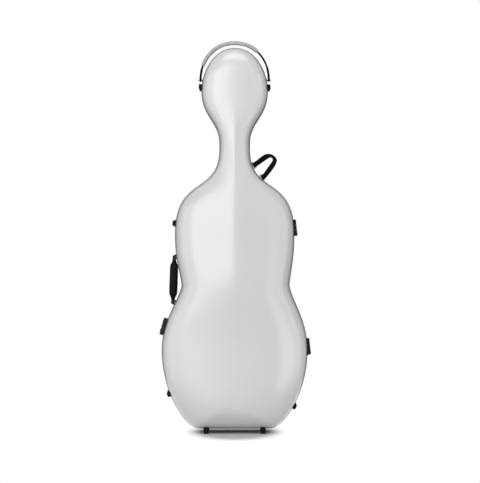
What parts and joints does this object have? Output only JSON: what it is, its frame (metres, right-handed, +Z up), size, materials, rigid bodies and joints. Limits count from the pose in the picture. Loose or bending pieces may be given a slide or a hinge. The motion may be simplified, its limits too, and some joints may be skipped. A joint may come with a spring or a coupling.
{
  "type": "cello hard case",
  "caption": "Upright hard case for a cello: two glossy moulded shells hinged along one side, draw latches, number lock, carry handles, feet and padded supports inside.",
  "frame": {"origin": "middle of the case's footprint, on the floor under the feet", "axes": "+Z up along the case, +Y towards the back shell, +X towards the hinges; the lid faces -Y"},
  "size_m": [0.5358, 0.2928, 1.382],
  "materials": {
    "gloss_shell": "glossy white moulded shell",
    "rim_metal": "satin grey metal",
    "rubber": "matt black rubber",
    "plush": "charcoal plush",
    "foam": "charcoal plush over foam",
    "black_metal": "satin black coated metal",
    "steel": "bright steel",
    "black_plastic": "satin black plastic",
    "leather": "padded black leather",
    "webbing": "black webbing",
    "grey_sleeve": "soft grey sleeve"
  },
  "bodies": {
    "back": {"back_shell": "gloss_shell", "back_rim": "rim_metal", "rim_seal": "rubber", "foot_back_left": "rubber", "foot_back_right": "rubber", "back_lining": "plush", "end_block": "foam", "waist_pad_left": "foam", "waist_pad_right": "foam", "shoulder_pad_left": "foam", "shoulder_pad_right": "foam", "neck_cradle": "foam", "hinge_lower_back_leaf": "black_metal", "hinge_upper_back_leaf": "black_metal", "lock_body": "black_metal", "side_handle_bracket_upper": "black_metal", "side_handle_bracket_lower": "black_metal", "head_handle_anchor_left": "black_metal", "head_handle_anchor_right": "black_metal", "latch_head_left_base": "black_metal", "latch_head_right_base": "black_metal", "latch_upper_left_base": "black_metal", "latch_lower_left_base": "black_metal", "latch_lower_right_base": "black_metal", "neck_loop_anchor_upper": "steel", "neck_loop_anchor_lower": "steel", "strap_loop_lower": "black_plastic", "strap_loop_upper": "black_plastic"},
    "lid": {"lid_shell": "gloss_shell", "lid_rim": "rim_metal", "lid_lining": "plush", "hinge_lower_lid_leaf": "black_metal", "hinge_upper_lid_leaf": "black_metal", "latch_head_left_keeper": "black_metal", "latch_head_right_keeper": "black_metal", "latch_upper_left_keeper": "black_metal", "latch_lower_left_keeper": "black_metal", "latch_lower_right_keeper": "black_metal", "lock_keeper": "black_metal", "foot_lid_left": "rubber", "foot_lid_right": "rubber", "accessory_pocket": "foam", "bow_rest": "foam", "bow_tip_pocket": "foam"},
    "latch_head_left_lever": {"latch_head_left_lever": "black_metal"},
    "latch_head_right_lever": {"latch_head_right_lever": "black_metal"},
    "latch_upper_left_lever": {"latch_upper_left_lever": "black_metal"},
    "latch_lower_left_lever": {"latch_lower_left_lever": "black_metal"},
    "latch_lower_right_lever": {"latch_lower_right_lever": "black_metal"},
    "lock_dial_1": {"lock_dial_1": "steel"},
    "lock_dial_2": {"lock_dial_2": "steel"},
    "lock_dial_3": {"lock_dial_3": "steel"},
    "lock_slide": {"lock_slide": "black_plastic"},
    "side_handle": {"side_handle_grip": "leather"},
    "head_handle": {"head_handle_strap": "webbing", "head_handle_sleeve": "grey_sleeve"},
    "neck_loop": {"neck_loop": "webbing"},
    "neck_strap": {"neck_strap": "webbing"},
    "bow_clip_left": {"bow_clip_left": "black_plastic"},
    "bow_clip_right": {"bow_clip_right": "black_plastic"}
  },
  "joints": [
    {"name": "lid_hinge", "type": "hinge", "parent": "back", "child": "lid", "pos_m": [0.25968, -0.01956, 0.30268], "axis": [-0.1127, 0, 0.9936], "range_deg": [0, 180]},
    {"name": "latch_head_left_turn", "type": "hinge", "parent": "back", "child": "latch_head_left_lever", "pos_m": [-0.12265, 0.01844, 1.2164], "axis": [-0.0864, 0, -0.9963], "range_deg": [0, 105]},
    {"name": "latch_head_right_turn", "type": "hinge", "parent": "back", "child": "latch_head_right_lever", "pos_m": [0.11903, 0.01844, 1.2164], "axis": [-0.0864, 0, 0.9963], "range_deg": [0, 105]},
    {"name": "latch_upper_left_turn", "type": "hinge", "parent": "back", "child": "latch_upper_left_lever", "pos_m": [-0.215, 0.01844, 0.7365], "axis": [-0.1084, 0, -0.9941], "range_deg": [0, 105]},
    {"name": "latch_lower_left_turn", "type": "hinge", "parent": "back", "child": "latch_lower_left_lever", "pos_m": [-0.23368, 0.01844, 0.13433], "axis": [0.3625, 0, -0.932], "range_deg": [0, 105]},
    {"name": "latch_lower_right_turn", "type": "hinge", "parent": "back", "child": "latch_lower_right_lever", "pos_m": [0.2095, 0.01844, 0.0898], "axis": [0.4783, 0, 0.8782], "range_deg": [0, 105]},
    {"name": "lock_dial_1_spin", "type": "hinge", "parent": "back", "child": "lock_dial_1", "pos_m": [-0.24849, 0.01044, 0.38861], "axis": [-0.2769, 0, -0.9609], "continuous": true},
    {"name": "lock_dial_2_spin", "type": "hinge", "parent": "back", "child": "lock_dial_2", "pos_m": [-0.25085, 0.01044, 0.38045], "axis": [-0.2769, 0, -0.9609], "continuous": true},
    {"name": "lock_dial_3_spin", "type": "hinge", "parent": "back", "child": "lock_dial_3", "pos_m": [-0.2532, 0.01044, 0.37228], "axis": [-0.2769, 0, -0.9609], "continuous": true},
    {"name": "lock_slide_travel", "type": "slide", "parent": "back", "child": "lock_slide", "axis": [-0.2769, 0, -0.9609], "range_m": [0, 0.005], "stiffness_N_per_m": 60, "springref_m": -0.002},
    {"name": "side_handle_tilt", "type": "hinge", "parent": "back", "child": "side_handle", "pos_m": [-0.21823, 0.01444, 0.53676], "axis": [-0.0333, 0, -0.9994], "range_deg": [-40, 40]},
    {"name": "head_handle_swing", "type": "hinge", "parent": "back", "child": "head_handle", "pos_m": [-0.00181, 0.01444, 1.243], "axis": [-1, 0, 0], "range_deg": [0, 100]},
    {"name": "neck_loop_swing", "type": "hinge", "parent": "back", "child": "neck_loop", "pos_m": [0.08214, 0.01444, 0.92078], "axis": [-0.5655, 0, 0.8247], "range_deg": [0, 60]},
    {"name": "neck_strap_turn", "type": "hinge", "parent": "back", "child": "neck_strap", "pos_m": [-0.03031, -0.00456, 0.984], "axis": [0, 0, -1], "range_deg": [0, 95]},
    {"name": "bow_clip_left_turn", "type": "hinge", "parent": "lid", "child": "bow_clip_left", "pos_m": [-0.05781, -0.10356, 0.469], "axis": [0, 1, 0], "range_deg": [0, 90]},
    {"name": "bow_clip_right_turn", "type": "hinge", "parent": "lid", "child": "bow_clip_right", "pos_m": [0.05419, -0.10356, 0.469], "axis": [0, 1, 0], "range_deg": [-90, 0]}
  ]
}
